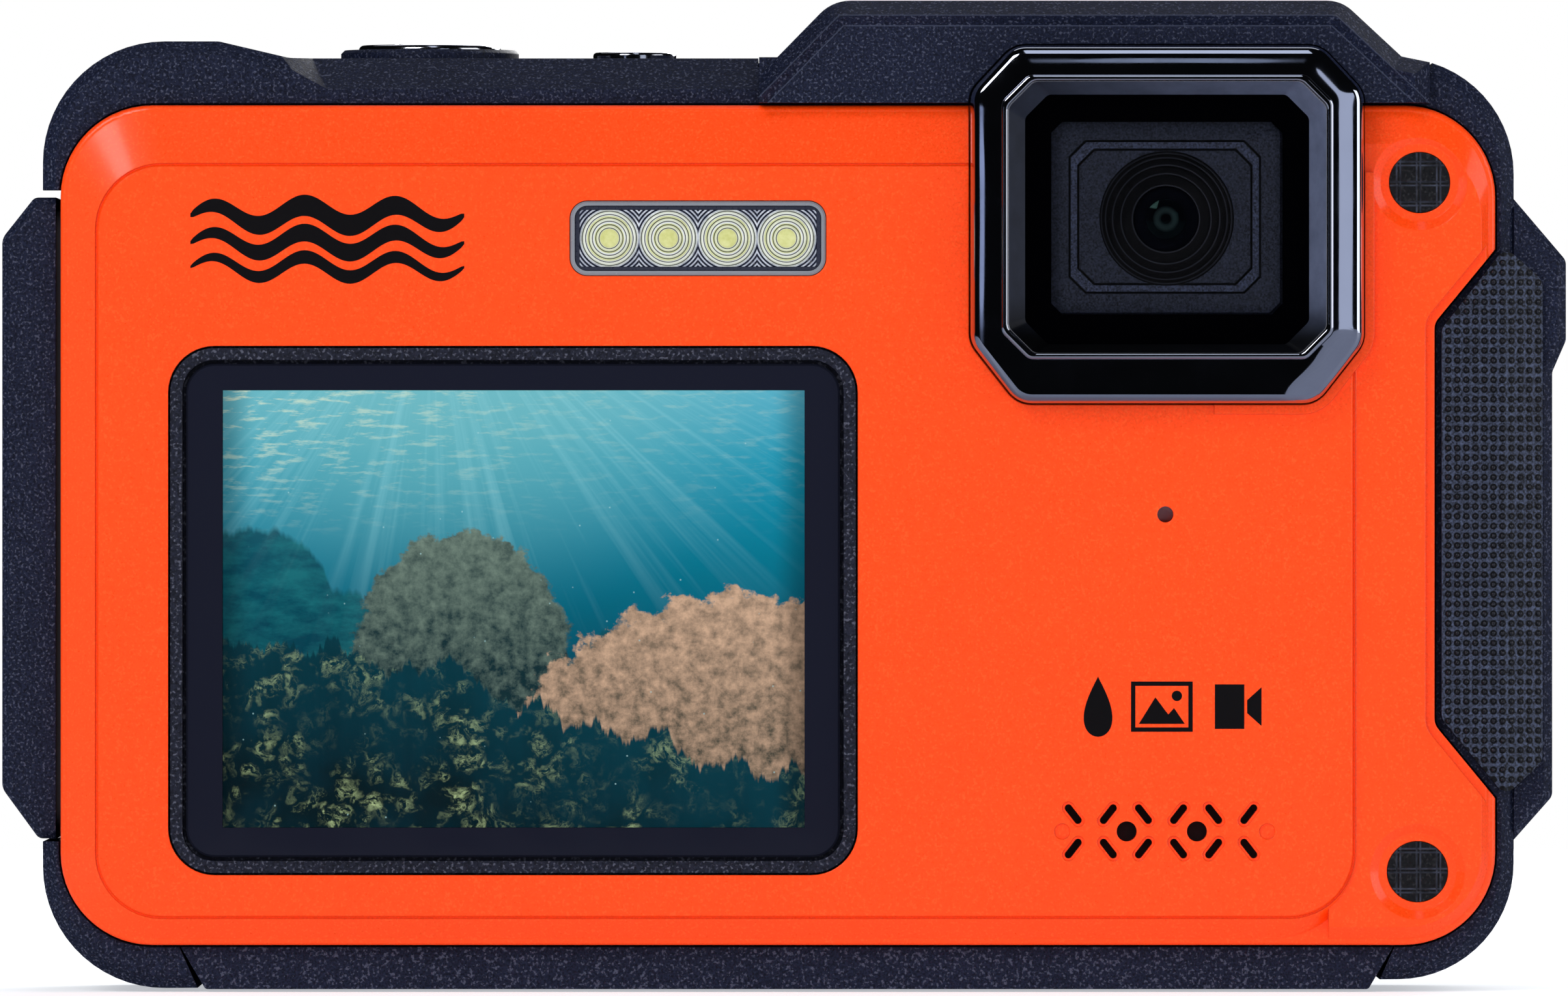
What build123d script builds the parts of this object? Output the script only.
from build123d import *
import os
from math import cos, radians, sin

# A rugged waterproof camera with a screen and a light bar on its front.
# X runs from the door side to the grip side, Y from the front to the back, Z up. Millimetres.
# A level is a distance in front of the middle plane, so a level of 10 lies at y = -10.

# Shock frame
FRAME_LEFT = -51.8
FRAME_RIGHT = 51.0
FRAME_TOP = 65.05
SHOULDER_TOP = 66.2
FRAME_LEVEL = 10.0
FRAME_BACK_LEVEL = -9.6
REAR_LEVEL = -14.4
CAVITY_WIDTH = 96.4
CAVITY_BOTTOM = 4.8
CAVITY_TOP = 62.0
CAVITY_LEVEL = 6.6
CAVITY_RADIUS = 4.5
GASKET_SEAT_LEVEL = 8.2
MOUTH_INSET = 2.4
PILLAR_RADIUS = 2.3
HUMP_LEFT = -1.74
HUMP_SEAT = 64.4

# Front cover
COVER_LEFT = -50.5
COVER_RIGHT = 49.65
COVER_BOTTOM = 3.1
COVER_TOP = 61.7
COVER_RADIUS = 6.4
COVER_GAP = 0.15
SKIRT_LEVEL = 9.0
RIM_LEVEL = 11.2
FLANGE_LEVEL = 12.0
PLATEAU_LEVEL = 12.4
PLATEAU_STEP = 0.15
PLATEAU_SLANT = 0.1
PLATEAU_GROOVE = 0.14
INNER_LEVEL = 10.6
NOTCH_EDGE = 45.39
NOTCH_LOW = 18.5
NOTCH_HIGH = 46.5
NOTCH_SLOPE = 40 / 33

# Lens
LENS_X = 26.7
LENS_Z = 53.8
BEZEL_BACK_LEVEL = 10.2
LENS_HOLE_RADIUS = 4.7
BARREL_RADIUS = 5.0

# Front display
SCREEN_X = -18.9
SCREEN_Z = 26.45
SCREEN_OPENING = (48.1, 36.9)
SCREEN_FRAME = (47.8, 36.6)
SCREEN_GLASS = (45.6, 34.4)

# Light bar
LIGHT_X = -6.0
LIGHT_Z = 52.4
LIGHT_SIZE = (17.8, 5.16)
LED_PITCH = 4.12

# Speaker grille
GRILLE_X = 26.3
GRILLE_Z = 11.05
GRILLE_PITCH = 2.45
GRILLE_ROW = 1.2
GRILLE_COLUMNS = 6
GRILLE_LEAN = 52.0

# Buttons on top
SHUTTER_X = -24.9
POWER_X = -10.5
BUTTON_Y = 0.5

# Door and its hinge
DOOR_FACE = -54.66
DOOR_INNER = -50.9
DOOR_LEVEL = 9.0
DOOR_BACK_LEVEL = -8.2
DOOR_SILL = -50.4
HINGE_X = -52.3
HINGE_Y = 8.2
KNUCKLE_RADIUS = 1.5
PIN_RADIUS = 0.6
PIN_BOTTOM = 13.0
PIN_TOP = 53.0
LUG_BOTTOMS = (17.2, 45.8)
LUG_LENGTH = 3.0

# Boards and battery
BOARD_LEVEL = 4.4
BOARD_BACK_LEVEL = 3.4
TRIPOD_X = 2.0
TRIPOD_Y = 2.5
TRIPOD_BORE_RADIUS = 2.55

# Rear face
KEYS_X = -33.5
PAD_Z = 31.5
KEY_GAP = 0.15
KEY_PROUD_LEVEL = -15.3
REAR_GLASS_X = 15.5
REAR_GLASS_Z = 33.4

CORNER_SCREWS = [(44.35, 56.3), (44.2, 8.23)]
REAR_SCREWS = [(-45.4, 7.6), (45.4, 7.6), (-45.4, 59.2), (45.4, 59.2)]

os.makedirs("parts", exist_ok=True)


def facing(level):
    """The upright plane at a level: local x is X, local y is Z, and extrudes go to the front."""
    return Plane.XZ.offset(level)


def outline(points, radii=0.0):
    """A closed outline with its corners rounded by one radius or by one radius each."""
    with BuildSketch() as shape:
        with BuildLine():
            FilletPolyline(*points, radius=radii, close=True)
        make_face()
    return shape.sketch


def bounds(left, right, bottom, top):
    """The corners of an upright rectangle, anticlockwise from the lower left."""
    return [(left, bottom), (right, bottom), (right, top), (left, top)]


def cut_corners(left, right, bottom, top, low, high):
    """The corners of a rectangle whose lower and upper corners are cut off by (width, height)."""
    return [
        (left + low[0], bottom),
        (right - low[0], bottom),
        (right, bottom + low[1]),
        (right, top - high[1]),
        (right - high[0], top),
        (left + high[0], top),
        (left, top - high[1]),
        (left, bottom + low[1]),
    ]


def grown(shape, amount):
    """A sketch grown by an amount all round, with its corners kept sharp."""
    with BuildSketch() as result:
        add(shape)
        offset(amount=amount, kind=Kind.INTERSECTION)
    return result.sketch


def grille_slots(length, width):
    """The speaker's leaning slots, two rows in a herringbone."""
    with BuildSketch() as shape:
        for column in range(GRILLE_COLUMNS):
            for row in (-1, 1):
                lean = GRILLE_LEAN if (column % 2 == 0) == (row < 0) else -GRILLE_LEAN
                x = GRILLE_X + (column - (GRILLE_COLUMNS - 1) / 2) * GRILLE_PITCH
                with Locations((x, GRILLE_Z + GRILLE_ROW * row)):
                    SlotOverall(length, width, rotation=lean)
    return shape.sketch


def notch_shape(grow):
    """The grip notch in the cover's right side, reaching well past that side."""
    far = 9.6
    rise = far * NOTCH_SLOPE
    points = [
        (NOTCH_EDGE, NOTCH_LOW),
        (NOTCH_EDGE + far, NOTCH_LOW - rise),
        (NOTCH_EDGE + far, NOTCH_HIGH + rise),
        (NOTCH_EDGE, NOTCH_HIGH),
    ]
    shape = outline(points, [1.2, 0.0, 0.0, 1.2])
    return grown(shape, grow) if grow else shape


def cover_shape(grow=0.0):
    """The front cover's outline, grown by a margin."""
    left = COVER_LEFT - grow
    right = COVER_RIGHT + grow
    with BuildSketch() as shape:
        add(outline(bounds(left, right, COVER_BOTTOM - grow, COVER_TOP + grow), COVER_RADIUS + grow))
        add(notch_shape(-grow), mode=Mode.SUBTRACT)
    return shape.sketch


def cavity_shape(grow=0.0):
    """The inner cavity's outline, grown by a margin."""
    half = CAVITY_WIDTH / 2 + grow
    return outline(bounds(-half, half, CAVITY_BOTTOM - grow, CAVITY_TOP + grow), CAVITY_RADIUS + grow)


def hump_shape(inset=0.0):
    """The hump's outline above the front cover. An inset moves only its sloping and top edges."""
    ridge = outline(
        [(-11.2, 54.1), (3.4, 69.0), (38.9, 69.0), (43.1, 65.1), (45.07, 64.7), (45.07, 54.1)],
        [0.0, 3.0, 2.6, 0.0, 0.0, 0.0],
    )
    with BuildSketch() as shape:
        add(grown(ridge, -inset) if inset else ridge)
        add(outline(bounds(HUMP_LEFT, 46.0, COVER_TOP + COVER_GAP, 70.0)), mode=Mode.INTERSECT)
    return shape.sketch


# The frame and the rear cover share one silhouette: a raised shoulder on the door side.
frame_shape = outline(
    [
        (FRAME_LEFT, 0.0),
        (FRAME_RIGHT, 0.73),
        (FRAME_RIGHT, FRAME_TOP),
        (-34.6, FRAME_TOP),
        (-39.5, SHOULDER_TOP),
        (FRAME_LEFT, SHOULDER_TOP),
    ],
    [8.5, 8.1, 8.1, 3.0, 1.5, 8.5],
)
# The doorway's cut is a little taller towards the back, so that one sees through above the door.
door_gap_shape = outline(bounds(FRAME_LEFT - 1, DOOR_SILL, 10.3, 55.8))
deep_gap_shape = outline(bounds(FRAME_LEFT - 1, DOOR_SILL, 10.3, 56.3))
DEEP_GAP_LEVEL = 7.5

# The surround of the lens, from the outside in.
bezel_shape = outline(cut_corners(13.0, 40.4, 40.9, 65.8, (3.3, 4.2), (3.0, 3.2)), 2.0)
bezel_mouth_shape = outline(cut_corners(15.1, 38.3, 43.9, 63.8, (1.9, 1.9), (1.9, 1.9)), 0.9)
trim_mouth_shape = outline(cut_corners(15.5, 37.9, 44.3, 63.4, (1.8, 1.8), (1.8, 1.8)), 0.8)
trim_throat_shape = outline(cut_corners(16.8, 36.6, 45.0, 62.4, (1.6, 1.6), (1.6, 1.6)), 0.6)
mask_seat_shape = outline(cut_corners(16.4, 37.0, 44.8, 62.8, (1.5, 1.5), (1.5, 1.5)), 0.5)

# ---------------------------------------------------------------------------- shock frame
DECK_SLOPE_LEVEL = 6.5
TRIPOD_BOSS_RADIUS = 6.0
TRIPOD_BOSS_TOP = 9.0
RAIL_TOP = 2.95

with BuildPart() as mid_frame:
    with BuildSketch(facing(FRAME_BACK_LEVEL)):
        add(frame_shape)
    extrude(amount=FRAME_LEVEL - FRAME_BACK_LEVEL)
    chamfer(mid_frame.faces().sort_by(Axis.Y)[0].outer_wire().edges(), 0.9)
    # the sloping deck in front of the buttons, with its slanting left end
    with BuildSketch(facing(FRAME_LEVEL + 0.05)):
        add(outline([(-38.9, 66.6), (-31.9, 62.8), (HUMP_LEFT, 62.8), (HUMP_LEFT, 66.6)]))
    with BuildSketch(facing(DECK_SLOPE_LEVEL)):
        add(outline([(-36.0, 67.6), (-33.2, 65.5), (HUMP_LEFT, 65.5), (HUMP_LEFT, 67.6)]))
    loft(ruled=True, mode=Mode.SUBTRACT)
    # seats for the hump, the bottom rail, the front cover and the door
    with BuildSketch(facing(FRAME_BACK_LEVEL)):
        add(outline(bounds(HUMP_LEFT - 0.05, 45.3, HUMP_SEAT, 67.0)))
        add(outline([(-40.5, -1.0), (40.9, -1.0), (42.63, RAIL_TOP), (-42.23, RAIL_TOP)]))
        add(door_gap_shape)
    extrude(amount=FRAME_LEVEL - FRAME_BACK_LEVEL, mode=Mode.SUBTRACT)
    with BuildSketch(facing(FRAME_BACK_LEVEL)):
        add(deep_gap_shape)
    extrude(amount=DEEP_GAP_LEVEL - FRAME_BACK_LEVEL, mode=Mode.SUBTRACT)
    with BuildSketch(facing(GASKET_SEAT_LEVEL)):
        add(cover_shape(COVER_GAP))
    extrude(amount=FRAME_LEVEL - GASKET_SEAT_LEVEL, mode=Mode.SUBTRACT)
    # the mouth behind the gasket, and the cavity with a pillar in each corner for the rear screws
    with BuildSketch(facing(CAVITY_LEVEL)):
        add(cover_shape(-MOUTH_INSET))
    extrude(amount=GASKET_SEAT_LEVEL - CAVITY_LEVEL, mode=Mode.SUBTRACT)
    with BuildSketch(facing(FRAME_BACK_LEVEL)):
        add(cavity_shape())
        with Locations(*REAR_SCREWS):
            Circle(PILLAR_RADIUS, mode=Mode.SUBTRACT)
    extrude(amount=CAVITY_LEVEL - FRAME_BACK_LEVEL, mode=Mode.SUBTRACT)
    # bosses for the two front screws
    with BuildSketch(facing(4.6)):
        with Locations(*CORNER_SCREWS):
            Circle(3.0)
    extrude(amount=GASKET_SEAT_LEVEL - 4.6)
    with BuildSketch(facing(4.6)):
        with Locations(*CORNER_SCREWS):
            Circle(0.85)
    extrude(amount=GASKET_SEAT_LEVEL - 4.6, mode=Mode.SUBTRACT)
    # holes up the rear pillars
    with BuildSketch(facing(FRAME_BACK_LEVEL)):
        with Locations(*REAR_SCREWS):
            Circle(0.85)
    extrude(amount=7.0, mode=Mode.SUBTRACT)
    # ribs that the main board rests on
    with BuildSketch(facing(2.0)):
        add(outline(bounds(-40.0, -36.0, 56.6, 62.2)))
        add(outline(bounds(36.0, 40.0, 56.6, 62.2)))
        add(outline(bounds(-40.0, -36.0, 4.6, 10.4)))
        add(outline(bounds(36.0, 40.0, 4.6, 10.4)))
    extrude(amount=BOARD_BACK_LEVEL - 2.0)
    # the way in for battery, card and plug
    with BuildSketch(Plane.YZ.offset(DOOR_SILL - 0.5)):
        add(outline(bounds(-6.8, 5.0, 13.0, 52.5), 1.0))
    extrude(amount=3.0, mode=Mode.SUBTRACT)
    # tripod boss
    with BuildSketch(Plane.XY.offset(RAIL_TOP)):
        with Locations((TRIPOD_X, TRIPOD_Y)):
            Circle(TRIPOD_BOSS_RADIUS)
    extrude(amount=TRIPOD_BOSS_TOP - RAIL_TOP)
    with BuildSketch(Plane.XY.offset(RAIL_TOP - 1)):
        with Locations((TRIPOD_X, TRIPOD_Y)):
            Circle(4.35)
    extrude(amount=6.6, mode=Mode.SUBTRACT)
    # shutter well with its stem hole
    with BuildSketch(Plane.XY.offset(59.6)):
        with Locations((SHUTTER_X, BUTTON_Y)):
            Circle(6.4)
    extrude(amount=3.0)
    with BuildSketch(Plane.XY.offset(61.0)):
        with Locations((SHUTTER_X, BUTTON_Y)):
            Circle(5.2)
    extrude(amount=6.0, mode=Mode.SUBTRACT)
    with BuildSketch(Plane.XY.offset(59.0)):
        with Locations((SHUTTER_X, BUTTON_Y)):
            Circle(1.6)
    extrude(amount=4.0, mode=Mode.SUBTRACT)
    # power well with its stem hole
    with BuildSketch(Plane.XY.offset(63.4)):
        with Locations((POWER_X, BUTTON_Y)):
            Circle(3.05)
    extrude(amount=4.0, mode=Mode.SUBTRACT)
    with BuildSketch(Plane.XY.offset(61.0)):
        with Locations((POWER_X, BUTTON_Y)):
            Circle(1.2)
    extrude(amount=4.0, mode=Mode.SUBTRACT)
    # hinge lugs, each a knuckle on an arm from the door sill
    for lug_bottom in LUG_BOTTOMS:
        with BuildSketch(Plane.XY.offset(lug_bottom)):
            with Locations((HINGE_X, HINGE_Y)):
                Circle(KNUCKLE_RADIUS)
            add(outline(bounds(HINGE_X, DOOR_SILL + 0.2, 7.0, 9.4)))
            with Locations((HINGE_X, HINGE_Y)):
                Circle(PIN_RADIUS + 0.03, mode=Mode.SUBTRACT)
        extrude(amount=LUG_LENGTH)
mid_frame.part.label = "mid_frame"
export_step(mid_frame.part, "parts/mid_frame.step")

# Long strip let into the underside, with finger grooves across it.
with BuildPart() as bottom_rail:
    with BuildSketch(facing(FRAME_BACK_LEVEL)):
        add(outline([(-40.42, 0.0), (40.82, 0.0), (42.55, RAIL_TOP), (-42.15, RAIL_TOP)], [0.3, 0.3, 0.0, 0.0]))
    extrude(amount=9.9 - FRAME_BACK_LEVEL)
    with BuildSketch(Plane.XY.offset(-1.0)):
        with Locations((TRIPOD_X, TRIPOD_Y)):
            Circle(4.45)
    extrude(amount=5.0, mode=Mode.SUBTRACT)
    with BuildSketch(Plane.XY):
        with GridLocations(2.4, 0.0, 9, 1):
            with Locations((-25.0, 0.0), (26.0, 0.0)):
                SlotOverall(13.0, 1.0, rotation=90)
    extrude(amount=0.5, mode=Mode.SUBTRACT)
bottom_rail.part.label = "bottom_rail"
export_step(bottom_rail.part, "parts/bottom_rail.step")

# ---------------------------------------------------------------------------- front cover
plateau_shape = outline(bounds(-47.8, 39.6, 5.2, 57.4), 4.4)
flange_base = outline(bounds(38.0, 49.2, 3.55, 61.25), [0.0, 5.95, 5.95, 0.0])
flange_top = outline(bounds(38.0, 48.65, 4.37, 59.0), [0.0, 5.2, 5.2, 0.0])

with BuildPart() as front_cover:
    with BuildSketch(facing(SKIRT_LEVEL)):
        add(outline(bounds(COVER_LEFT, COVER_RIGHT, COVER_BOTTOM, COVER_TOP), COVER_RADIUS))
    extrude(amount=RIM_LEVEL - SKIRT_LEVEL)
    fillet(front_cover.faces().sort_by(Axis.Y)[0].outer_wire().edges(), 0.4)
    # the face rises from the rim to a plateau, and to a lower flange on the grip side
    with BuildSketch(facing(RIM_LEVEL)):
        add(outline(bounds(-50.05, 40.1, 3.55, 61.25), 5.95))
    with BuildSketch(facing(PLATEAU_LEVEL - PLATEAU_STEP)):
        add(grown(plateau_shape, PLATEAU_GROOVE + PLATEAU_SLANT))
    loft()
    # a fine groove round the plateau, whose own edge rises from it with a slant
    with BuildSketch(facing(PLATEAU_LEVEL - 2 * PLATEAU_STEP)):
        add(grown(plateau_shape, PLATEAU_GROOVE + PLATEAU_SLANT))
    extrude(amount=PLATEAU_STEP * 2, mode=Mode.SUBTRACT)
    with BuildSketch(facing(PLATEAU_LEVEL - 2 * PLATEAU_STEP)):
        add(grown(plateau_shape, PLATEAU_SLANT))
    extrude(amount=PLATEAU_STEP)
    with BuildSketch(facing(PLATEAU_LEVEL - PLATEAU_STEP)):
        add(grown(plateau_shape, PLATEAU_SLANT))
    with BuildSketch(facing(PLATEAU_LEVEL)):
        add(plateau_shape)
    loft()
    with BuildSketch(facing(RIM_LEVEL)):
        add(flange_base)
    with BuildSketch(facing(FLANGE_LEVEL)):
        add(flange_top)
    loft()
    # the grip notch, with a narrow ledge along it
    with BuildSketch(facing(SKIRT_LEVEL)):
        add(notch_shape(0.0))
    extrude(amount=5.0, mode=Mode.SUBTRACT)
    with BuildSketch(facing(FLANGE_LEVEL - 0.5)):
        add(notch_shape(0.65))
    extrude(amount=2.0, mode=Mode.SUBTRACT)
    # the hollow behind, leaving bosses for the screws and a well for the lens
    with BuildSketch(facing(SKIRT_LEVEL)):
        add(cover_shape(-2.2))
        with Locations(*CORNER_SCREWS):
            Circle(4.0, mode=Mode.SUBTRACT)
        add(outline(bounds(11.8, 41.6, 39.7, 62.0)), mode=Mode.SUBTRACT)
    extrude(amount=INNER_LEVEL - SKIRT_LEVEL, mode=Mode.SUBTRACT)
    # a low lip round the grip side of the lens surround
    with BuildSketch(facing(INNER_LEVEL)):
        add(grown(bezel_shape, 0.75))
        add(outline(bounds(30.0, 42.0, 38.0, 57.0)), mode=Mode.INTERSECT)
    extrude(amount=PLATEAU_LEVEL + 0.3 - INNER_LEVEL)
    with BuildSketch(facing(BEZEL_BACK_LEVEL)):
        add(grown(bezel_shape, 0.12))
    extrude(amount=4.0, mode=Mode.SUBTRACT)
    with BuildSketch(facing(SKIRT_LEVEL)):
        add(outline(bounds(15.7, 37.7, 43.9, 59.2), 1.0))
    extrude(amount=2.0, mode=Mode.SUBTRACT)
    # openings for the display, the light bar and the microphone
    with BuildSketch(facing(SKIRT_LEVEL)):
        with Locations((SCREEN_X, SCREEN_Z)):
            RectangleRounded(*SCREEN_OPENING, 3.25)
        with Locations((LIGHT_X, LIGHT_Z)):
            RectangleRounded(LIGHT_SIZE[0] + 0.1, LIGHT_SIZE[1] + 0.1, 1.25)
        with Locations((26.6, 33.15)):
            Circle(0.56)
    extrude(amount=5.0, mode=Mode.SUBTRACT)
    # speaker grille: slots through the cover, a shallow groove round each, and two round holes
    with BuildSketch(facing(INNER_LEVEL)):
        add(grille_slots(1.6, 0.52))
        with Locations((23.9, GRILLE_Z), (28.8, GRILLE_Z)):
            Circle(0.7)
    extrude(amount=3.0, mode=Mode.SUBTRACT)
    with BuildSketch(facing(PLATEAU_LEVEL - 0.18)):
        add(grille_slots(2.0, 0.86))
        with Locations((19.4, GRILLE_Z), (33.7, GRILLE_Z)):
            Circle(0.55)
    extrude(amount=1.0, mode=Mode.SUBTRACT)
    # corner screw wells: a cone, a ring and a seat for the screw head
    for screw in CORNER_SCREWS:
        with BuildSketch(facing(11.55)):
            with Locations(screw):
                Circle(2.72)
        with BuildSketch(facing(FLANGE_LEVEL + 0.02)):
            with Locations(screw):
                Circle(3.35)
        loft(mode=Mode.SUBTRACT)
    with BuildSketch(facing(10.2)):
        with Locations(*CORNER_SCREWS):
            Circle(2.14)
    extrude(amount=2.0, mode=Mode.SUBTRACT)
    with BuildSketch(facing(SKIRT_LEVEL)):
        with Locations(*CORNER_SCREWS):
            Circle(0.9)
    extrude(amount=2.0, mode=Mode.SUBTRACT)
front_cover.part.label = "front_cover"
export_step(front_cover.part, "parts/front_cover.step")

with BuildPart() as main_gasket:
    with BuildSketch(facing(GASKET_SEAT_LEVEL)):
        add(cover_shape(-0.5))
        add(cover_shape(-2.0), mode=Mode.SUBTRACT)
    extrude(amount=SKIRT_LEVEL - GASKET_SEAT_LEVEL)
main_gasket.part.label = "main_gasket"
export_step(main_gasket.part, "parts/main_gasket.step")

# Rubber plugs over the front screws, their faces cut with a square grid.
with BuildPart() as corner_plugs:
    with BuildSketch(facing(11.05)):
        with Locations(*CORNER_SCREWS):
            Circle(2.1)
    extrude(amount=0.55)
    with BuildSketch(facing(11.5)):
        with Locations(*CORNER_SCREWS):
            with GridLocations(1.4, 0.0, 3, 1):
                Rectangle(0.18, 4.4)
            with GridLocations(0.0, 1.4, 1, 3):
                Rectangle(4.4, 0.18)
    extrude(amount=0.2, mode=Mode.SUBTRACT)
corner_plugs.part.label = "corner_plugs"
export_step(corner_plugs.part, "parts/corner_plugs.step")

with BuildPart() as front_screws:
    with BuildSketch(facing(10.2)):
        with Locations(*CORNER_SCREWS):
            Circle(1.8)
    extrude(amount=0.8)
    with BuildSketch(facing(5.0)):
        with Locations(*CORNER_SCREWS):
            Circle(0.8)
    extrude(amount=5.3)
    with BuildSketch(facing(10.6)):
        with Locations(*CORNER_SCREWS):
            RegularPolygon(0.8, 6)
    extrude(amount=1.0, mode=Mode.SUBTRACT)
front_screws.part.label = "front_screws"
export_step(front_screws.part, "parts/front_screws.step")

# ---------------------------------------------------------------------------- hump over the lens
HUMP_BASE_LEVEL = 11.3
HUMP_RIDGE_LEVEL = 12.9
HUMP_FACE_LEVEL = 12.3

with BuildPart() as top_cover:
    with BuildSketch(facing(FRAME_BACK_LEVEL)):
        add(hump_shape())
        add(outline(bounds(HUMP_LEFT, 0.6, 62.2, FRAME_TOP)))
    extrude(amount=HUMP_BASE_LEVEL - FRAME_BACK_LEVEL)
    with BuildSketch(facing(HUMP_BASE_LEVEL)):
        add(hump_shape())
    with BuildSketch(facing(HUMP_RIDGE_LEVEL)):
        add(hump_shape(1.05))
    loft()
    # the face is sunk behind the ridge
    with BuildSketch(facing(HUMP_FACE_LEVEL)):
        add(hump_shape(1.75))
    with BuildSketch(facing(HUMP_RIDGE_LEVEL + 0.02)):
        add(hump_shape(1.05))
    loft(mode=Mode.SUBTRACT)
    # behind its front plate the hump stands on the frame and is hollow
    with BuildSketch(facing(FRAME_BACK_LEVEL)):
        add(outline(bounds(-3.0, 46.0, 60.0, HUMP_SEAT)))
    extrude(amount=FRAME_LEVEL - FRAME_BACK_LEVEL, mode=Mode.SUBTRACT)
    with BuildSketch(facing(-8.0)):
        add(hump_shape(1.7))
        add(outline(bounds(1.0, 42.5, 63.0, 68.0)), mode=Mode.INTERSECT)
    extrude(amount=16.4, mode=Mode.SUBTRACT)
    with BuildSketch(facing(FRAME_LEVEL)):
        add(grown(bezel_shape, 0.15))
    extrude(amount=4.0, mode=Mode.SUBTRACT)
top_cover.part.label = "top_cover"
export_step(top_cover.part, "parts/top_cover.step")

# ---------------------------------------------------------------------------- grip side
STRAP_BAR_BOTTOM = 43.4
STRAP_BAR_TOP = 50.6

with BuildPart() as side_frame:
    with BuildSketch(facing(-9.4)):
        side_points = [
            (FRAME_RIGHT, 10.4),
            (53.7, 13.45),
            (53.7, 43.1),
            (54.66, 45.3),
            (54.66, 50.9),
            (FRAME_RIGHT, 55.2),
        ]
        add(outline(side_points, [0.0, 0.8, 0.8, 0.8, 0.8, 0.0]))
    extrude(amount=9.4 + 9.4)
    chamfer(side_frame.faces().sort_by(Axis.Y)[0].edges().sort_by(Axis.X)[1:], 0.6)
    chamfer(side_frame.faces().sort_by(Axis.Y)[-1].edges().sort_by(Axis.X)[1:], 0.6)
    # the strap passes behind a bar in the hump
    with BuildSketch(Plane.XY.offset(38.5)):
        add(outline(bounds(51.6, 53.3, -2.6, 2.6)))
    extrude(amount=16.0, mode=Mode.SUBTRACT)
    with BuildSketch(Plane.XY.offset(38.5)):
        add(outline(bounds(51.6, 56.0, -2.6, 2.6)))
    extrude(amount=STRAP_BAR_BOTTOM - 38.5, mode=Mode.SUBTRACT)
    with BuildSketch(Plane.XY.offset(STRAP_BAR_TOP)):
        add(outline(bounds(51.6, 56.0, -2.6, 2.6)))
    extrude(amount=5.0, mode=Mode.SUBTRACT)
    # grip ribs below the eyelet
    with BuildSketch(Plane.YZ.offset(54.2)):
        with Locations((0.0, 25.5)):
            with GridLocations(0.0, 2.4, 1, 8):
                SlotOverall(11.0, 1.1)
    extrude(amount=-0.9, mode=Mode.SUBTRACT)
side_frame.part.label = "side_frame"
export_step(side_frame.part, "parts/side_frame.step")

GRIP_LEVEL = 11.4
GRIP_BEND_X = 50.25

with BuildPart() as grip_pad:
    with BuildSketch(facing(9.4)):
        grip_points = [(45.9, 18.9), (50.35, 13.5), (53.0, 15.9), (53.0, 49.5), (50.35, 51.8), (45.9, 46.1)]
        add(outline(grip_points, [1.0, 0.8, 1.2, 1.2, 0.8, 1.0]))
    extrude(amount=GRIP_LEVEL - 9.4)
    # its back steps down from the frame onto the side frame
    with BuildSketch(Plane.XY):
        add(outline(bounds(44.0, FRAME_RIGHT, -FRAME_LEVEL, -8.0)))
        add(outline([(GRIP_BEND_X, -GRIP_LEVEL), (54.0, -9.35), (54.0, -12.0), (GRIP_BEND_X, -12.0)]))
    extrude(amount=60.0, mode=Mode.SUBTRACT)
grip_pad.part.label = "grip_pad"
export_step(grip_pad.part, "parts/grip_pad.step")

# ---------------------------------------------------------------------------- lens
BEZEL_BAND_LEVEL = 14.8
BEZEL_CROWN = 0.6
TRIM_LEVEL = 15.3
WINDOW_LEVEL = 13.4
WINDOW_SEAT_LEVEL = 12.2

with BuildPart() as lens_bezel:
    with BuildSketch(facing(BEZEL_BACK_LEVEL)):
        add(bezel_shape)
    extrude(amount=BEZEL_BAND_LEVEL - BEZEL_BACK_LEVEL)
    # one smooth crown from the side wall to the broad band
    fillet(lens_bezel.faces().sort_by(Axis.Y)[0].outer_wire().edges(), BEZEL_CROWN)
    with BuildSketch(facing(WINDOW_SEAT_LEVEL)):
        add(bezel_mouth_shape)
    extrude(amount=4.0, mode=Mode.SUBTRACT)
    with BuildSketch(facing(BEZEL_BACK_LEVEL)):
        add(mask_seat_shape)
    extrude(amount=3.0, mode=Mode.SUBTRACT)
lens_bezel.part.label = "lens_bezel"
export_step(lens_bezel.part, "parts/lens_bezel.step")

with BuildPart() as lens_trim_ring:
    with BuildSketch(facing(WINDOW_LEVEL)):
        add(grown(bezel_mouth_shape, -0.05))
    extrude(amount=TRIM_LEVEL - WINDOW_LEVEL)
    with BuildSketch(facing(WINDOW_LEVEL)):
        add(trim_throat_shape)
    with BuildSketch(facing(TRIM_LEVEL)):
        add(trim_mouth_shape)
    loft(mode=Mode.SUBTRACT)
    # the rim is a bead, rounded on both sides
    rim = lens_trim_ring.faces().sort_by(Axis.Y)[0]
    fillet(rim.outer_wire().edges(), 0.2)
    rim = lens_trim_ring.faces().sort_by(Axis.Y)[0]
    fillet(rim.inner_wires()[0].edges(), 0.1)
lens_trim_ring.part.label = "lens_trim_ring"
export_step(lens_trim_ring.part, "parts/lens_trim_ring.step")

with BuildPart() as lens_window:
    with BuildSketch(facing(WINDOW_SEAT_LEVEL)):
        add(grown(bezel_mouth_shape, -0.1))
    extrude(amount=WINDOW_LEVEL - WINDOW_SEAT_LEVEL)
lens_window.part.label = "lens_window"
export_step(lens_window.part, "parts/lens_window.step")

BARREL_LEVEL = 10.9
MASK_LEVEL = 11.9
MASK_FLANGE_LEVEL = 11.3
MASK_X, MASK_Z = 26.57, 53.9


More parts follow.
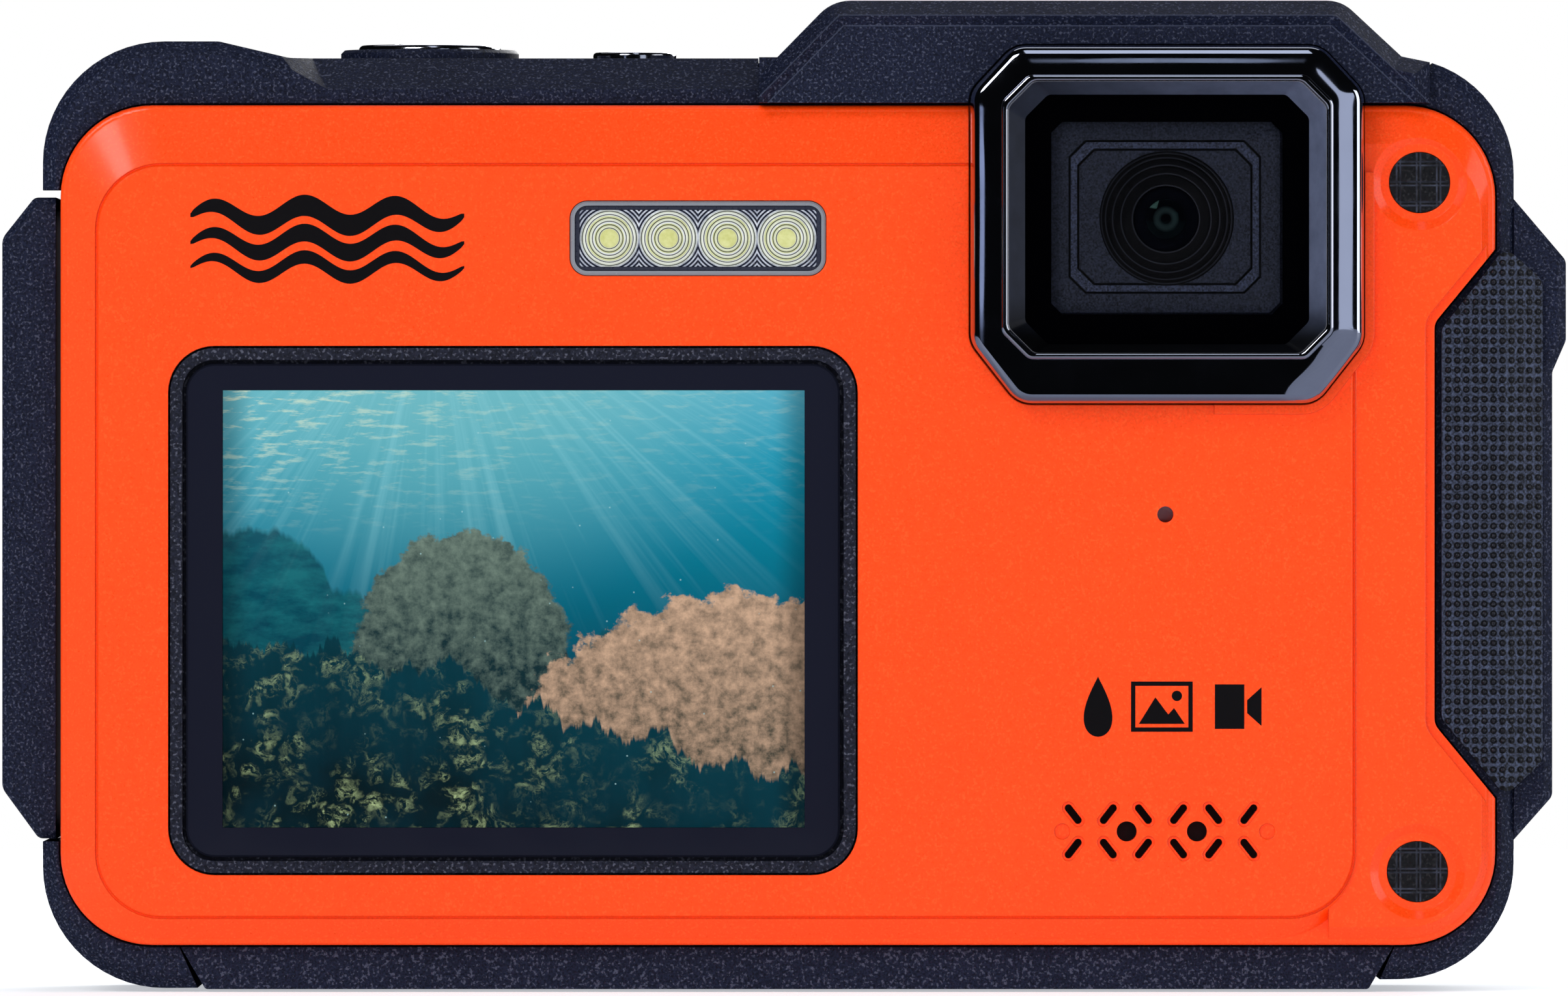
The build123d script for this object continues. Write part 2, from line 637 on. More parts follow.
def mask_octagon(width, height, cut):
    """An octagon centred on the lens plate."""
    left, right = MASK_X - width / 2, MASK_X + width / 2
    low, high = MASK_Z - height / 2, MASK_Z + height / 2
    return outline(cut_corners(left, right, low, high, (cut, cut), (cut, cut)))


with BuildPart() as lens_mask_plate:
    with BuildSketch(facing(BARREL_LEVEL)):
        add(grown(mask_seat_shape, -0.1))
    extrude(amount=MASK_FLANGE_LEVEL - BARREL_LEVEL)
    with BuildSketch(facing(MASK_FLANGE_LEVEL)):
        add(mask_octagon(16.1, 13.4, 0.73))
    extrude(amount=MASK_LEVEL - MASK_FLANGE_LEVEL)
    with BuildSketch(facing(MASK_LEVEL - 0.15)):
        for width, height in ((13.4, 10.7), (12.2, 9.5)):
            add(mask_octagon(width, height, 1.15))
            add(mask_octagon(width - 0.24, height - 0.24, 1.08), mode=Mode.SUBTRACT)
    extrude(amount=0.3, mode=Mode.SUBTRACT)
    with BuildSketch(facing(10.5)):
        with Locations((LENS_X, LENS_Z)):
            Circle(LENS_HOLE_RADIUS)
    extrude(amount=2.0, mode=Mode.SUBTRACT)
lens_mask_plate.part.label = "lens_mask_plate"
export_step(lens_mask_plate.part, "parts/lens_mask_plate.step")

# Each step of the barrel is a bore of its radius from its level to the front.
BARREL_STEPS = [(1.9, 5.6), (2.3, 7.4), (3.1, 8.9), (3.7, 9.3), (4.2, 9.8), (4.5, 10.4)]

with BuildPart() as lens_barrel:
    with BuildSketch(facing(BOARD_LEVEL)):
        add(outline(bounds(21.0, 32.4, 48.7, 58.9), 1.0))
    extrude(amount=2.0)
    with BuildSketch(facing(BOARD_LEVEL)):
        with Locations((LENS_X, LENS_Z)):
            Circle(BARREL_RADIUS)
    extrude(amount=BARREL_LEVEL - BOARD_LEVEL)
    with BuildSketch(facing(BOARD_LEVEL)):
        with Locations((LENS_X, LENS_Z)):
            Rectangle(8.3, 6.8)
    extrude(amount=1.2, mode=Mode.SUBTRACT)
    for step_radius, step_level in BARREL_STEPS:
        with BuildSketch(facing(step_level)):
            with Locations((LENS_X, LENS_Z)):
                Circle(step_radius)
        extrude(amount=6.0, mode=Mode.SUBTRACT)
lens_barrel.part.label = "lens_barrel"
export_step(lens_barrel.part, "parts/lens_barrel.step")

# Two elements on the lens axis: a domed one in front and a plain one behind.
DOME_RADIUS = 3.56
DOME_LEVEL = 8.9

with BuildPart() as lens_elements:
    with BuildSketch(facing(7.4)):
        with Locations((LENS_X, LENS_Z)):
            Circle(2.25)
    extrude(amount=2.0)
    with Locations((LENS_X, DOME_RADIUS - DOME_LEVEL, LENS_Z)):
        Sphere(DOME_RADIUS, mode=Mode.INTERSECT)
    with BuildSketch(facing(5.7)):
        with Locations((LENS_X, LENS_Z)):
            Circle(1.85)
    extrude(amount=1.2)
lens_elements.part.label = "lens_elements"
export_step(lens_elements.part, "parts/lens_elements.step")

with BuildPart() as image_sensor:
    with BuildSketch(facing(BOARD_LEVEL)):
        with Locations((LENS_X, LENS_Z)):
            Rectangle(8.0, 6.5)
    extrude(amount=0.8)
image_sensor.part.label = "image_sensor"
export_step(image_sensor.part, "parts/image_sensor.step")

# ---------------------------------------------------------------------------- light bar
LIGHT_LEVEL = 12.55
LIGHT_TRAY_LEVEL = 12.2

with BuildPart() as light_bezel:
    with BuildSketch(facing(INNER_LEVEL)):
        with Locations((LIGHT_X, LIGHT_Z)):
            RectangleRounded(*LIGHT_SIZE, 1.2)
    extrude(amount=LIGHT_LEVEL - INNER_LEVEL)
    chamfer(light_bezel.faces().sort_by(Axis.Y)[0].outer_wire().edges(), 0.12)
    with BuildSketch(facing(9.8)):
        with Locations((LIGHT_X, LIGHT_Z)):
            RectangleRounded(LIGHT_SIZE[0] + 1.6, LIGHT_SIZE[1] + 1.6, 1.6)
    extrude(amount=INNER_LEVEL - 9.8)
    with BuildSketch(facing(9.0)):
        with Locations((LIGHT_X, LIGHT_Z)):
            RectangleRounded(LIGHT_SIZE[0] - 0.6, LIGHT_SIZE[1] - 0.6, 0.9)
    extrude(amount=5.0, mode=Mode.SUBTRACT)
light_bezel.part.label = "light_bezel"
export_step(light_bezel.part, "parts/light_bezel.step")

with BuildPart() as light_tray:
    with BuildSketch(facing(SKIRT_LEVEL)):
        with Locations((LIGHT_X, LIGHT_Z)):
            RectangleRounded(LIGHT_SIZE[0] - 0.65, LIGHT_SIZE[1] - 0.65, 0.88)
    extrude(amount=LIGHT_TRAY_LEVEL - SKIRT_LEVEL)
    with BuildSketch(facing(SKIRT_LEVEL)):
        with Locations((LIGHT_X, LIGHT_Z)):
            RectangleRounded(15.6, 3.1, 0.4)
    extrude(amount=5.0, mode=Mode.SUBTRACT)
    with BuildSketch(facing(11.0)):
        with Locations((LIGHT_X, LIGHT_Z)):
            RectangleRounded(16.56, 4.0, 0.62)
    extrude(amount=2.0, mode=Mode.SUBTRACT)
light_tray.part.label = "light_tray"
export_step(light_tray.part, "parts/light_tray.step")

with BuildPart() as light_lens:
    with BuildSketch(facing(11.0)):
        with Locations((LIGHT_X, LIGHT_Z)):
            RectangleRounded(16.5, 3.94, 0.6)
    extrude(amount=1.3)
light_lens.part.label = "light_lens"
export_step(light_lens.part, "parts/light_lens.step")

with BuildPart() as led_chips:
    with BuildSketch(facing(SKIRT_LEVEL)):
        with Locations((LIGHT_X, LIGHT_Z)):
            with GridLocations(LED_PITCH, 0.0, 4, 1):
                Rectangle(2.6, 2.6)
    extrude(amount=0.7)
    with BuildSketch(facing(SKIRT_LEVEL + 0.7)):
        with Locations((LIGHT_X, LIGHT_Z)):
            with GridLocations(LED_PITCH, 0.0, 4, 1):
                Circle(0.95)
    extrude(amount=0.25)
led_chips.part.label = "led_chips"
export_step(led_chips.part, "parts/led_chips.step")

with BuildPart() as led_board:
    with BuildSketch(facing(8.3)):
        with Locations((LIGHT_X, LIGHT_Z)):
            RectangleRounded(18.8, 6.0, 0.5)
    extrude(amount=SKIRT_LEVEL - 8.3)
led_board.part.label = "led_board"
export_step(led_board.part, "parts/led_board.step")

# ---------------------------------------------------------------------------- front display
SCREEN_GLASS_LEVEL = 12.2
SCREEN_SHELF_LEVEL = 11.2

with BuildPart() as front_display_frame:
    with BuildSketch(facing(INNER_LEVEL)):
        with Locations((SCREEN_X, SCREEN_Z)):
            RectangleRounded(*SCREEN_FRAME, 3.1)
    extrude(amount=PLATEAU_LEVEL + 0.1 - INNER_LEVEL)
    with BuildSketch(facing(9.2)):
        with Locations((SCREEN_X, SCREEN_Z)):
            RectangleRounded(SCREEN_OPENING[0] + 2.0, SCREEN_OPENING[1] + 2.0, 3.6)
    extrude(amount=INNER_LEVEL - 9.2)
    with BuildSketch(facing(SCREEN_SHELF_LEVEL)):
        with Locations((SCREEN_X, SCREEN_Z)):
            RectangleRounded(SCREEN_GLASS[0] + 0.52, SCREEN_GLASS[1] + 0.52, 2.2)
    extrude(amount=3.0, mode=Mode.SUBTRACT)
    with BuildSketch(facing(9.0)):
        with Locations((SCREEN_X, SCREEN_Z)):
            RectangleRounded(43.8, 32.6, 1.0)
    extrude(amount=4.0, mode=Mode.SUBTRACT)
front_display_frame.part.label = "front_display_frame"
export_step(front_display_frame.part, "parts/front_display_frame.step")

with BuildPart() as front_display_glass:
    with BuildSketch(facing(SCREEN_SHELF_LEVEL)):
        with Locations((SCREEN_X, SCREEN_Z)):
            RectangleRounded(*SCREEN_GLASS, 2.0)
    extrude(amount=SCREEN_GLASS_LEVEL - SCREEN_SHELF_LEVEL)
    chamfer(front_display_glass.faces().sort_by(Axis.Y)[0].edges(), 0.15)
front_display_glass.part.label = "front_display_glass"
export_step(front_display_glass.part, "parts/front_display_glass.step")

with BuildPart() as front_display_panel:
    with BuildSketch(facing(8.9)):
        with Locations((SCREEN_X, SCREEN_Z)):
            RectangleRounded(43.4, 32.2, 0.8)
    extrude(amount=SCREEN_SHELF_LEVEL - 8.9)
front_display_panel.part.label = "front_display_panel"
export_step(front_display_panel.part, "parts/front_display_panel.step")

# ---------------------------------------------------------------------------- sound
with BuildPart() as speaker:
    with BuildSketch(facing(BOARD_LEVEL)):
        with Locations((GRILLE_X, GRILLE_Z)):
            RectangleRounded(15.0, 9.0, 1.0)
    extrude(amount=10.2 - BOARD_LEVEL)
    with BuildSketch(facing(9.8)):
        with Locations((GRILLE_X, GRILLE_Z)):
            RectangleRounded(13.0, 7.0, 2.5)
    extrude(amount=1.0, mode=Mode.SUBTRACT)
speaker.part.label = "speaker"
export_step(speaker.part, "parts/speaker.step")

with BuildPart() as microphone:
    with BuildSketch(facing(9.4)):
        with Locations((26.6, 33.15)):
            Rectangle(3.8, 3.0)
    extrude(amount=INNER_LEVEL - 9.4)
microphone.part.label = "microphone"
export_step(microphone.part, "parts/microphone.step")

# ---------------------------------------------------------------------------- boards, battery, card, port
with BuildPart() as main_board:
    with BuildSketch(facing(BOARD_BACK_LEVEL)):
        add(outline(bounds(-40.4, 43.0, 9.2, 57.8), 1.0))
    extrude(amount=BOARD_LEVEL - BOARD_BACK_LEVEL)
    with BuildSketch(facing(BOARD_LEVEL)):
        with Locations((8.0, 30.0)):
            Rectangle(13.0, 13.0)
        with Locations((-8.0, 32.0)):
            Rectangle(9.0, 11.0)
        with Locations((26.0, 34.0)):
            Rectangle(10.0, 8.0)
        with Locations((-22.0, 22.0)):
            Rectangle(6.0, 6.0)
    extrude(amount=1.2)
main_board.part.label = "main_board"
export_step(main_board.part, "parts/main_board.step")

with BuildPart() as battery_holder:
    with BuildSketch(Plane.YZ.offset(-48.0)):
        add(outline(bounds(-2.6, 7.0, 14.0, 52.0), 0.8))
    extrude(amount=44.0)
    with BuildSketch(Plane.YZ.offset(-48.0)):
        add(outline(bounds(-2.0, 4.4, 15.8, 50.2), 0.5))
    extrude(amount=42.6, mode=Mode.SUBTRACT)
    # the open lattice at its back
    with BuildSketch(facing(-7.5)):
        with Locations((-26.0, 33.0)):
            with GridLocations(9.0, 16.0, 4, 2):
                RectangleRounded(6.4, 12.0, 1.0)
    extrude(amount=3.4, mode=Mode.SUBTRACT)
battery_holder.part.label = "battery_holder"
export_step(battery_holder.part, "parts/battery_holder.step")

with BuildPart() as battery:
    with BuildSketch(Plane.YZ.offset(-47.2)):
        add(outline(bounds(-1.8, 4.2, 16.0, 50.0), 0.8))
    extrude(amount=40.5)
battery.part.label = "battery"
export_step(battery.part, "parts/battery.step")

with BuildPart() as battery_contacts:
    with BuildSketch(Plane.YZ.offset(-6.68)):
        with Locations((1.2, 40.0)):
            with GridLocations(0.0, 4.0, 1, 3):
                Rectangle(1.6, 1.2)
    extrude(amount=1.26)
battery_contacts.part.label = "battery_contacts"
export_step(battery_contacts.part, "parts/battery_contacts.step")

with BuildPart() as usb_port:
    with BuildSketch(Plane.YZ.offset(-47.9)):
        add(outline(bounds(-6.7, -3.5, 24.0, 33.0), 1.55))
    extrude(amount=7.5)
    with BuildSketch(Plane.YZ.offset(-47.9)):
        add(outline(bounds(-6.4, -3.8, 24.3, 32.7), 1.25))
        add(outline(bounds(-5.45, -4.75, 25.2, 31.8)), mode=Mode.SUBTRACT)
    extrude(amount=6.2, mode=Mode.SUBTRACT)
usb_port.part.label = "usb_port"
export_step(usb_port.part, "parts/usb_port.step")

with BuildPart() as card_socket:
    with BuildSketch(Plane.YZ.offset(-47.9)):
        add(outline(bounds(-6.2, -BOARD_LEVEL, 36.8, 49.4)))
        add(outline(bounds(-5.7, -4.7, 37.4, 48.8)), mode=Mode.SUBTRACT)
    extrude(amount=15.0)
card_socket.part.label = "card_socket"
export_step(card_socket.part, "parts/card_socket.step")

with BuildPart() as memory_card:
    with BuildSketch(facing(4.8)):
        add(outline(bounds(-48.0, -33.2, 37.6, 48.6), 0.5))
    extrude(amount=0.8)
memory_card.part.label = "memory_card"
export_step(memory_card.part, "parts/memory_card.step")

with BuildPart() as top_board:
    with BuildSketch(Plane.XY.offset(56.0)):
        add(outline(bounds(-30.0, -6.0, -3.0, 5.0), 0.8))
    extrude(amount=0.8)
    with BuildSketch(Plane.XY.offset(56.8)):
        with Locations((SHUTTER_X, BUTTON_Y), (POWER_X, BUTTON_Y)):
            Circle(2.0)
    extrude(amount=0.6)
top_board.part.label = "top_board"
export_step(top_board.part, "parts/top_board.step")

with BuildPart() as tripod_insert:
    with BuildSketch(Plane.XY.offset(0.3)):
        with Locations((TRIPOD_X, TRIPOD_Y)):
            Circle(4.3)
    extrude(amount=8.2)
    with BuildSketch(Plane.XY.offset(0.3)):
        with Locations((TRIPOD_X, TRIPOD_Y)):
            Circle(TRIPOD_BORE_RADIUS)
    extrude(amount=7.2, mode=Mode.SUBTRACT)
tripod_insert.part.label = "tripod_insert"
export_step(tripod_insert.part, "parts/tripod_insert.step")

# ---------------------------------------------------------------------------- buttons on top
COLLAR_TOP = 65.75
SHUTTER_TOP = 66.1
SHUTTER_UNDERSIDE = 64.45
POWER_TOP = 65.6
POWER_UNDERSIDE = 64.4

with BuildPart() as shutter_collar:
    with BuildSketch(Plane.XY.offset(FRAME_TOP)):
        with Locations((SHUTTER_X, BUTTON_Y)):
            Circle(6.25)
            Circle(5.2, mode=Mode.SUBTRACT)
    extrude(amount=COLLAR_TOP - FRAME_TOP)
    chamfer(shutter_collar.faces().sort_by(Axis.Z)[-1].outer_wire().edges(), 0.25)
shutter_collar.part.label = "shutter_collar"
export_step(shutter_collar.part, "parts/shutter_collar.step")

with BuildPart() as shutter_button:
    with BuildSketch(Plane.XY.offset(SHUTTER_UNDERSIDE)):
        with Locations((SHUTTER_X, BUTTON_Y)):
            Circle(5.0)
    extrude(amount=SHUTTER_TOP - SHUTTER_UNDERSIDE)
    fillet(shutter_button.faces().sort_by(Axis.Z)[-1].edges(), 0.35)
    with BuildSketch(Plane.XY.offset(58.6)):
        with Locations((SHUTTER_X, BUTTON_Y)):
            Circle(1.5)
    extrude(amount=SHUTTER_UNDERSIDE - 58.6)
    # shallow dish in the cap
    with Locations((SHUTTER_X, BUTTON_Y, SHUTTER_TOP + 29.8)):
        Sphere(30.0, mode=Mode.SUBTRACT)
shutter_button.part.label = "shutter_button"
export_step(shutter_button.part, "parts/shutter_button.step")

SPRING_WIRE = 0.25
SPRING_BOTTOM = 61.0 + SPRING_WIRE
SPRING_HEIGHT = SHUTTER_UNDERSIDE - SPRING_WIRE - SPRING_BOTTOM

with BuildPart() as shutter_spring:
    with BuildLine() as spring_path:
        Helix(
            pitch=SPRING_HEIGHT / 4,
            height=SPRING_HEIGHT,
            radius=3.2,
            center=(SHUTTER_X, BUTTON_Y, SPRING_BOTTOM),
        )
    with BuildSketch(Plane(spring_path.line @ 0, z_dir=spring_path.line % 0)):
        Circle(SPRING_WIRE)
    sweep(is_frenet=True)
shutter_spring.part.label = "shutter_spring"
export_step(shutter_spring.part, "parts/shutter_spring.step")

with BuildPart() as power_button:
    with BuildSketch(Plane.XY.offset(POWER_UNDERSIDE)):
        with Locations((POWER_X, BUTTON_Y)):
            Circle(2.92)
    extrude(amount=POWER_TOP - POWER_UNDERSIDE)
    fillet(power_button.faces().sort_by(Axis.Z)[-1].edges(), 0.25)
    with BuildSketch(Plane.XY.offset(58.2)):
        with Locations((POWER_X, BUTTON_Y)):
            Circle(1.1)
    extrude(amount=POWER_UNDERSIDE - 58.2)
    with Locations((POWER_X, BUTTON_Y, POWER_TOP + 15.85)):
        Sphere(16.0, mode=Mode.SUBTRACT)
power_button.part.label = "power_button"
export_step(power_button.part, "parts/power_button.step")

# ---------------------------------------------------------------------------- side door
LATCH_Y = -5.6
LATCH_TRAVEL = 3.0

with BuildPart() as side_door:
    with BuildSketch(facing(DOOR_BACK_LEVEL)):
        door_points = [
            (DOOR_INNER, 10.5),
            (-52.1, 10.5),
            (DOOR_FACE, 14.0),
            (DOOR_FACE, 52.45),
            (-52.4, 55.3),
            (DOOR_INNER, 55.3),
        ]
        add(outline(door_points, [0.0, 0.6, 1.2, 1.2, 0.6, 0.0]))
    extrude(amount=DOOR_LEVEL - DOOR_BACK_LEVEL)
    chamfer(side_door.faces().sort_by(Axis.Y)[0].edges().sort_by(Axis.X)[:-1], 0.5)
    # the plug that fills the doorway, hollow inside
    with BuildSketch(Plane.YZ.offset(DOOR_INNER)):
        add(outline(bounds(-5.8, 4.7, 13.3, 52.2), 1.0))
    extrude(amount=1.5)
    with BuildSketch(Plane.YZ.offset(-53.3)):
        add(outline(bounds(-3.4, 3.4, 14.6, 50.9), 0.8))
    extrude(amount=5.0, mode=Mode.SUBTRACT)
    # thumb recess for the latch, with the slot that guides it
    with BuildSketch(Plane.YZ.offset(DOOR_FACE - 0.1)):
        add(outline(bounds(LATCH_Y - 1.9, LATCH_Y + 1.9, 27.8, 40.2), 0.6))
    extrude(amount=1.1, mode=Mode.SUBTRACT)
    with BuildSketch(Plane.YZ.offset(DOOR_FACE)):
        add(outline(bounds(LATCH_Y - 0.7, LATCH_Y + 0.7, 30.3, 37.7)))
    extrude(amount=2.0, mode=Mode.SUBTRACT)
    # ribs across the door's outer face
    with BuildSketch(Plane.YZ.offset(DOOR_FACE)):
        with Locations((1.5, 33.2)):
            with GridLocations(0.0, 3.2, 1, 10):
                SlotOverall(8.4, 1.2)
    extrude(amount=0.35, mode=Mode.SUBTRACT)
    # knuckles on the hinge line, the pin's bore, and room for the frame's lugs
    for knuckle_bottom in (PIN_BOTTOM, PIN_TOP - 4.0):
        with BuildSketch(Plane.XY.offset(knuckle_bottom)):
            with Locations((HINGE_X, HINGE_Y)):
                Circle(KNUCKLE_RADIUS)
        extrude(amount=4.0)
    with BuildSketch(Plane.XY.offset(PIN_BOTTOM - 0.2)):
        with Locations((HINGE_X, HINGE_Y)):
            Circle(PIN_RADIUS + 0.05)
    extrude(amount=PIN_TOP - PIN_BOTTOM + 0.4, mode=Mode.SUBTRACT)
    for lug_bottom in LUG_BOTTOMS:
        with BuildSketch(Plane.XY.offset(lug_bottom - 0.2)):
            with Locations((HINGE_X, HINGE_Y)):
                Circle(KNUCKLE_RADIUS + 0.2)
            add(outline(bounds(HINGE_X, -50.0, 6.6, 10.0)))
        extrude(amount=LUG_LENGTH + 0.4, mode=Mode.SUBTRACT)
side_door.part.label = "side_door"
export_step(side_door.part, "parts/side_door.step")

with BuildPart() as door_gasket:
    with BuildSketch(Plane.YZ.offset(DOOR_INNER)):
        add(outline(bounds(-8.2, 6.2, 11.4, 54.4), 1.5))
        add(outline(bounds(-6.2, 5.2, 12.6, 53.2), 1.0), mode=Mode.SUBTRACT)
    extrude(amount=0.4)
door_gasket.part.label = "door_gasket"
export_step(door_gasket.part, "parts/door_gasket.step")

with BuildPart() as door_hinge_pin:
    with BuildSketch(Plane.XY.offset(PIN_BOTTOM)):
        with Locations((HINGE_X, HINGE_Y)):
            Circle(PIN_RADIUS)
    extrude(amount=PIN_TOP - PIN_BOTTOM)
door_hinge_pin.part.label = "door_hinge_pin"
export_step(door_hinge_pin.part, "parts/door_hinge_pin.step")

with BuildPart() as door_latch:
    with BuildSketch(Plane.YZ.offset(DOOR_FACE + 0.06)):
        add(outline(bounds(LATCH_Y - 1.75, LATCH_Y + 1.75, 28.0, 37.0), 0.5))
    extrude(amount=0.88)
    with BuildSketch(Plane.YZ.offset(DOOR_FACE + 0.5)):
        add(outline(bounds(LATCH_Y - 0.6, LATCH_Y + 0.6, 30.5, 34.5)))
    extrude(amount=1.3)
    with BuildSketch(Plane.YZ.offset(DOOR_FACE + 0.06)):
        with Locations((LATCH_Y, 32.5)):
            with GridLocations(0.0, 1.1, 1, 6):
                Rectangle(2.6, 0.5)
    extrude(amount=0.3, mode=Mode.SUBTRACT)
door_latch.part.label = "door_latch"
export_step(door_latch.part, "parts/door_latch.step")

# ---------------------------------------------------------------------------- rear face
REAR_INNER_LEVEL = -12.8
REAR_GLASS_LEVEL = -13.3


def arrow_shape(turn, grow=0.0):
    """One quarter of the arrow pad: a ring segment that leaves a straight gap to the next one."""
    side = radians(38.0)
    inner = 5.1 - grow
    outer = 9.2 + grow
    spread = grow / inner
    with BuildSketch() as shape:
        with BuildLine():
            low = side + spread
            high_inner = [(inner * sin(a), inner * cos(a)) for a in (-low, 0.0, low)]
            high_outer = [(outer * sin(a), outer * cos(a)) for a in (-low, 0.0, low)]
            ThreePointArc(*high_inner)
            Line(high_inner[2], high_outer[2])
            ThreePointArc(*high_outer)
            Line(high_outer[0], high_inner[0])
        make_face()
    return Pos(KEYS_X, PAD_Z) * Rot(0, 0, turn) * shape.sketch


def round_key(x, z, radius, grow=0.0):
    """The face of a round key."""
    return Pos(x, z) * Circle(radius + grow, mode=Mode.PRIVATE)


def oval_key(x, z, grow=0.0):
    """The face of an oval zoom key."""
    return Pos(x, z) * SlotOverall(8.0 + 2 * grow, 4.5 + 2 * grow, mode=Mode.PRIVATE)


# Each key's face, as a function of how much it is grown, and the place of its stem.
# Left and right are as seen from behind the camera.
KEY_FACES = {
    "zoom_in_key": (lambda grow: oval_key(-27.0, 55.0, grow), (-27.0, 55.0)),
    "zoom_out_key": (lambda grow: oval_key(-39.5, 55.0, grow), (-39.5, 55.0)),
    "mode_key": (lambda grow: round_key(-43.0, 44.5, 2.6, grow), (-43.0, 44.5)),
    "menu_key": (lambda grow: round_key(-24.0, 44.5, 2.6, grow), (-24.0, 44.5)),
    "ok_key": (lambda grow: round_key(KEYS_X, PAD_Z, 4.0, grow), (KEYS_X, PAD_Z)),
    "up_key": (lambda grow: arrow_shape(0.0, grow), (KEYS_X, PAD_Z + 7.2)),
    "left_key": (lambda grow: arrow_shape(-90.0, grow), (KEYS_X + 7.2, PAD_Z)),
    "down_key": (lambda grow: arrow_shape(180.0, grow), (KEYS_X, PAD_Z - 7.2)),
    "right_key": (lambda grow: arrow_shape(90.0, grow), (KEYS_X - 7.2, PAD_Z)),
    "play_key": (lambda grow: round_key(-43.0, 17.5, 2.6, grow), (-43.0, 17.5)),
    "screen_key": (lambda grow: round_key(-24.0, 17.5, 2.6, grow), (-24.0, 17.5)),
}

with BuildPart() as rear_cover:
    with BuildSketch(facing(REAR_LEVEL)):
        add(frame_shape)
    extrude(amount=FRAME_BACK_LEVEL - REAR_LEVEL)
    fillet(rear_cover.faces().sort_by(Axis.Y)[-1].outer_wire().edges(), 2.2)
    with BuildSketch(facing(REAR_LEVEL)):
        add(deep_gap_shape)
    extrude(amount=FRAME_BACK_LEVEL - REAR_LEVEL, mode=Mode.SUBTRACT)
    # the hollow inside, with bosses for the screws, and the gasket's groove round it
    with BuildSketch(facing(REAR_INNER_LEVEL)):
        add(cavity_shape())
        with Locations(*REAR_SCREWS):
            Circle(PILLAR_RADIUS, mode=Mode.SUBTRACT)
    extrude(amount=FRAME_BACK_LEVEL - REAR_INNER_LEVEL, mode=Mode.SUBTRACT)
    with BuildSketch(facing(FRAME_BACK_LEVEL - 0.8)):
        add(cavity_shape(1.5))
        add(cavity_shape(0.5), mode=Mode.SUBTRACT)
    extrude(amount=0.8, mode=Mode.SUBTRACT)
    # screw wells
    with BuildSketch(facing(REAR_LEVEL)):
        with Locations(*REAR_SCREWS):
            Circle(0.9)
    extrude(amount=FRAME_BACK_LEVEL - REAR_LEVEL, mode=Mode.SUBTRACT)
    with BuildSketch(facing(REAR_LEVEL)):
        with Locations(*REAR_SCREWS):
            Circle(1.55)
    extrude(amount=1.1, mode=Mode.SUBTRACT)
    # the display's opening and its glass recess
    with BuildSketch(facing(REAR_LEVEL)):
        with Locations((REAR_GLASS_X, REAR_GLASS_Z)):
            RectangleRounded(63.3, 47.1, 2.15)
    extrude(amount=REAR_GLASS_LEVEL - REAR_LEVEL, mode=Mode.SUBTRACT)
    with BuildSketch(facing(REAR_LEVEL)):
        with Locations((REAR_GLASS_X, REAR_GLASS_Z)):
            RectangleRounded(60.4, 45.0, 0.8)
    extrude(amount=FRAME_BACK_LEVEL - REAR_LEVEL, mode=Mode.SUBTRACT)
    # a hole for every key
    with BuildSketch(facing(REAR_LEVEL)):
        for key_face, stem in KEY_FACES.values():
            add(key_face(KEY_GAP))
    extrude(amount=FRAME_BACK_LEVEL - REAR_LEVEL, mode=Mode.SUBTRACT)
rear_cover.part.label = "rear_cover"
export_step(rear_cover.part, "parts/rear_cover.step")

with BuildPart() as rear_gasket:
    with BuildSketch(facing(FRAME_BACK_LEVEL - 0.8)):
        add(cavity_shape(1.4))
        add(cavity_shape(0.6), mode=Mode.SUBTRACT)
    extrude(amount=0.8)
rear_gasket.part.label = "rear_gasket"
export_step(rear_gasket.part, "parts/rear_gasket.step")

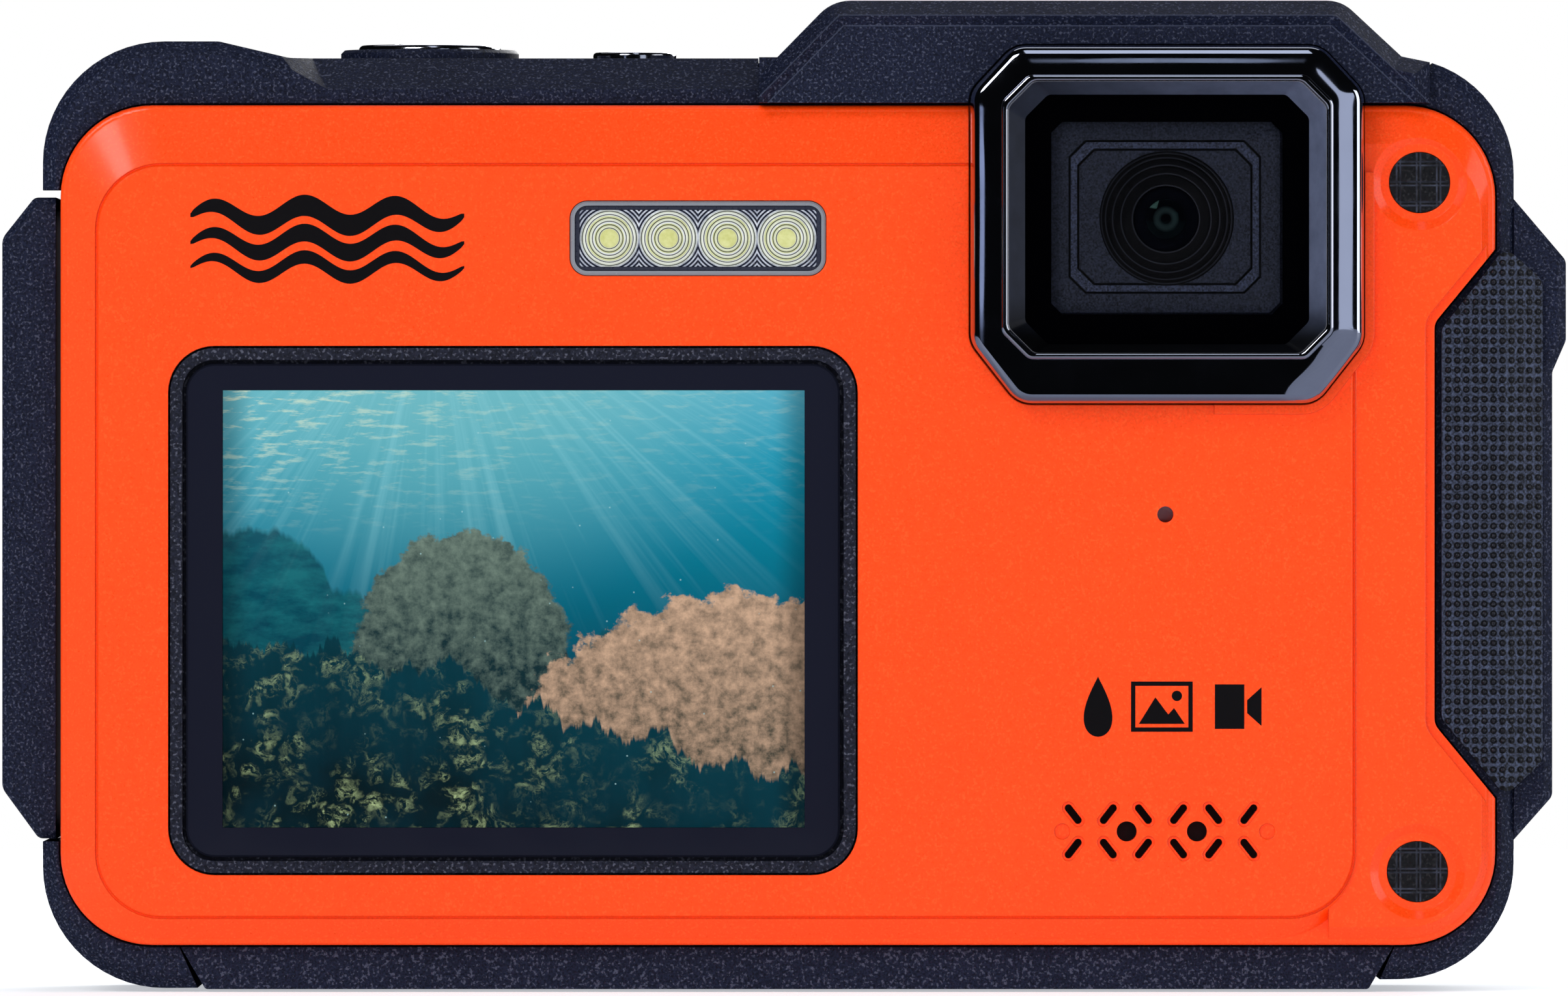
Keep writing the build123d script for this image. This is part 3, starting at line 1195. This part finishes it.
with BuildPart() as rear_screws:
    with BuildSketch(facing(-14.2)):
        with Locations(*REAR_SCREWS):
            Circle(1.4)
    extrude(amount=0.9)
    with BuildSketch(facing(-13.4)):
        with Locations(*REAR_SCREWS):
            Circle(0.8)
    extrude(amount=9.4)
    with BuildSketch(facing(-14.2)):
        with Locations(*REAR_SCREWS):
            Rectangle(1.7, 0.4)
            Rectangle(0.4, 1.7)
    extrude(amount=0.5, mode=Mode.SUBTRACT)
rear_screws.part.label = "rear_screws"
export_step(rear_screws.part, "parts/rear_screws.step")

with BuildPart() as rear_display_glass:
    with BuildSketch(facing(-14.5)):
        with Locations((REAR_GLASS_X, REAR_GLASS_Z)):
            RectangleRounded(63.0, 46.8, 2.0)
    extrude(amount=1.2)
    chamfer(rear_display_glass.faces().sort_by(Axis.Y)[-1].edges(), 0.15)
rear_display_glass.part.label = "rear_display_glass"
export_step(rear_display_glass.part, "parts/rear_display_glass.step")

with BuildPart() as rear_display_panel:
    with BuildSketch(facing(REAR_GLASS_LEVEL)):
        with Locations((REAR_GLASS_X, REAR_GLASS_Z)):
            RectangleRounded(60.0, 44.6, 0.6)
    extrude(amount=2.1)
rear_display_panel.part.label = "rear_display_panel"
export_step(rear_display_panel.part, "parts/rear_display_panel.step")

# A key is a cap, a wider foot behind the cover's wall and a stem above its dome switch.
for key_name, (key_face, stem) in KEY_FACES.items():
    with BuildPart() as key:
        with BuildSketch(facing(KEY_PROUD_LEVEL)):
            add(key_face(0.0))
        extrude(amount=3.0)
        fillet(key.faces().sort_by(Axis.Y)[-1].edges(), 0.3)
        with BuildSketch(facing(-12.7)):
            add(key_face(0.28))
        extrude(amount=0.7)
        with BuildSketch(facing(-12.0)):
            with Locations(stem):
                Circle(1.0)
        extrude(amount=1.5)
    key.part.label = key_name
    export_step(key.part, f"parts/{key_name}.step")

with BuildPart() as key_board:
    with BuildSketch(facing(-9.2)):
        add(outline(bounds(-47.6, -18.5, 10.5, 56.6), 1.0))
    extrude(amount=0.8)
    with BuildSketch(facing(-9.8)):
        for key_face, stem in KEY_FACES.values():
            with Locations(stem):
                Circle(1.4)
    extrude(amount=0.6)
key_board.part.label = "key_board"
export_step(key_board.part, "parts/key_board.step")
